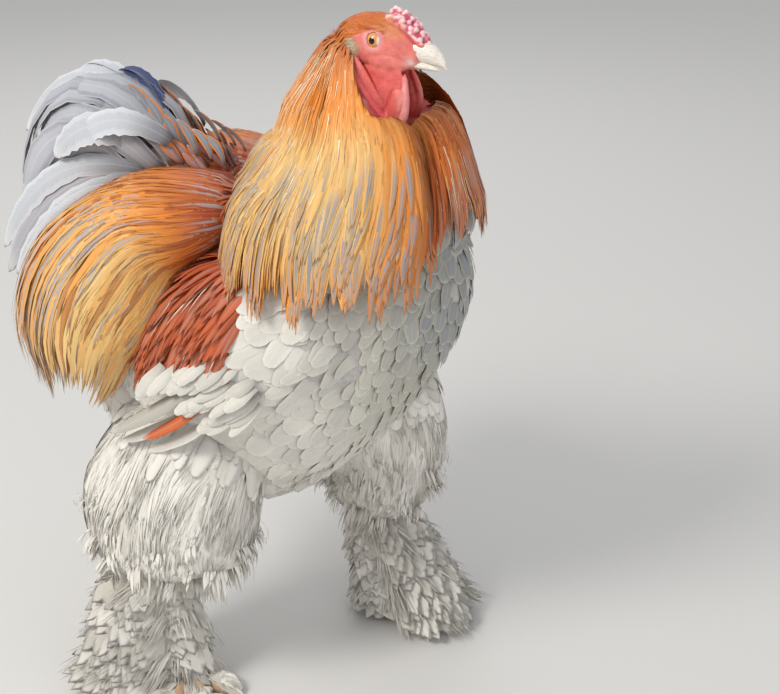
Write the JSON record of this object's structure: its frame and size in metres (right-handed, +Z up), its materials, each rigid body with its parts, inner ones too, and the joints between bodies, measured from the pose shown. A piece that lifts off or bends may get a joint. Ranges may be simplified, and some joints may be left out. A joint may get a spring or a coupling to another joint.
{
  "type": "brahma cock",
  "caption": "Standing feather-legged cock as a still, life-size museum model, with a full neck hackle, a pea comb and feathered shanks and toes.",
  "frame": {"origin": "on the floor under the middle of the bird's length and width", "axes": "+X the way the body faces, +Y the bird's left, +Z up"},
  "size_m": [0.488, 0.3544, 0.6992],
  "materials": {
    "plumage": "soft pale grey feathers",
    "hackle": "glossy golden neck feathers with grey centres",
    "saddle": "glossy golden rump feathers with grey streaks",
    "wing": "chestnut wing bow over pale grey coverts",
    "foot": "scaled buff skin under pale feathers",
    "face": "bare red skin",
    "horn": "smooth ivory horn",
    "iris": "wet glossy eye"
  },
  "bodies": {
    "root": {"head": "face", "comb": "face", "beak_lower": "horn", "beak_upper": "horn", "eye_right": "iris", "eye_left": "iris", "torso": "plumage", "neck": "hackle", "tail": "plumage", "saddle_right": "saddle", "wing_right": "wing", "thigh_right": "plumage", "shank_right": "plumage", "foot_right": "foot", "claw_inner_right": "horn", "claw_middle_right": "horn", "claw_outer_right": "horn", "claw_hind_right": "horn", "wattle_right": "face", "earlobe_right": "face", "saddle_left": "saddle", "wing_left": "wing", "thigh_left": "plumage", "shank_left": "plumage", "foot_left": "foot", "claw_inner_left": "horn", "claw_middle_left": "horn", "claw_outer_left": "horn", "claw_hind_left": "horn", "wattle_left": "face", "earlobe_left": "face"}
  },
  "joints": []
}
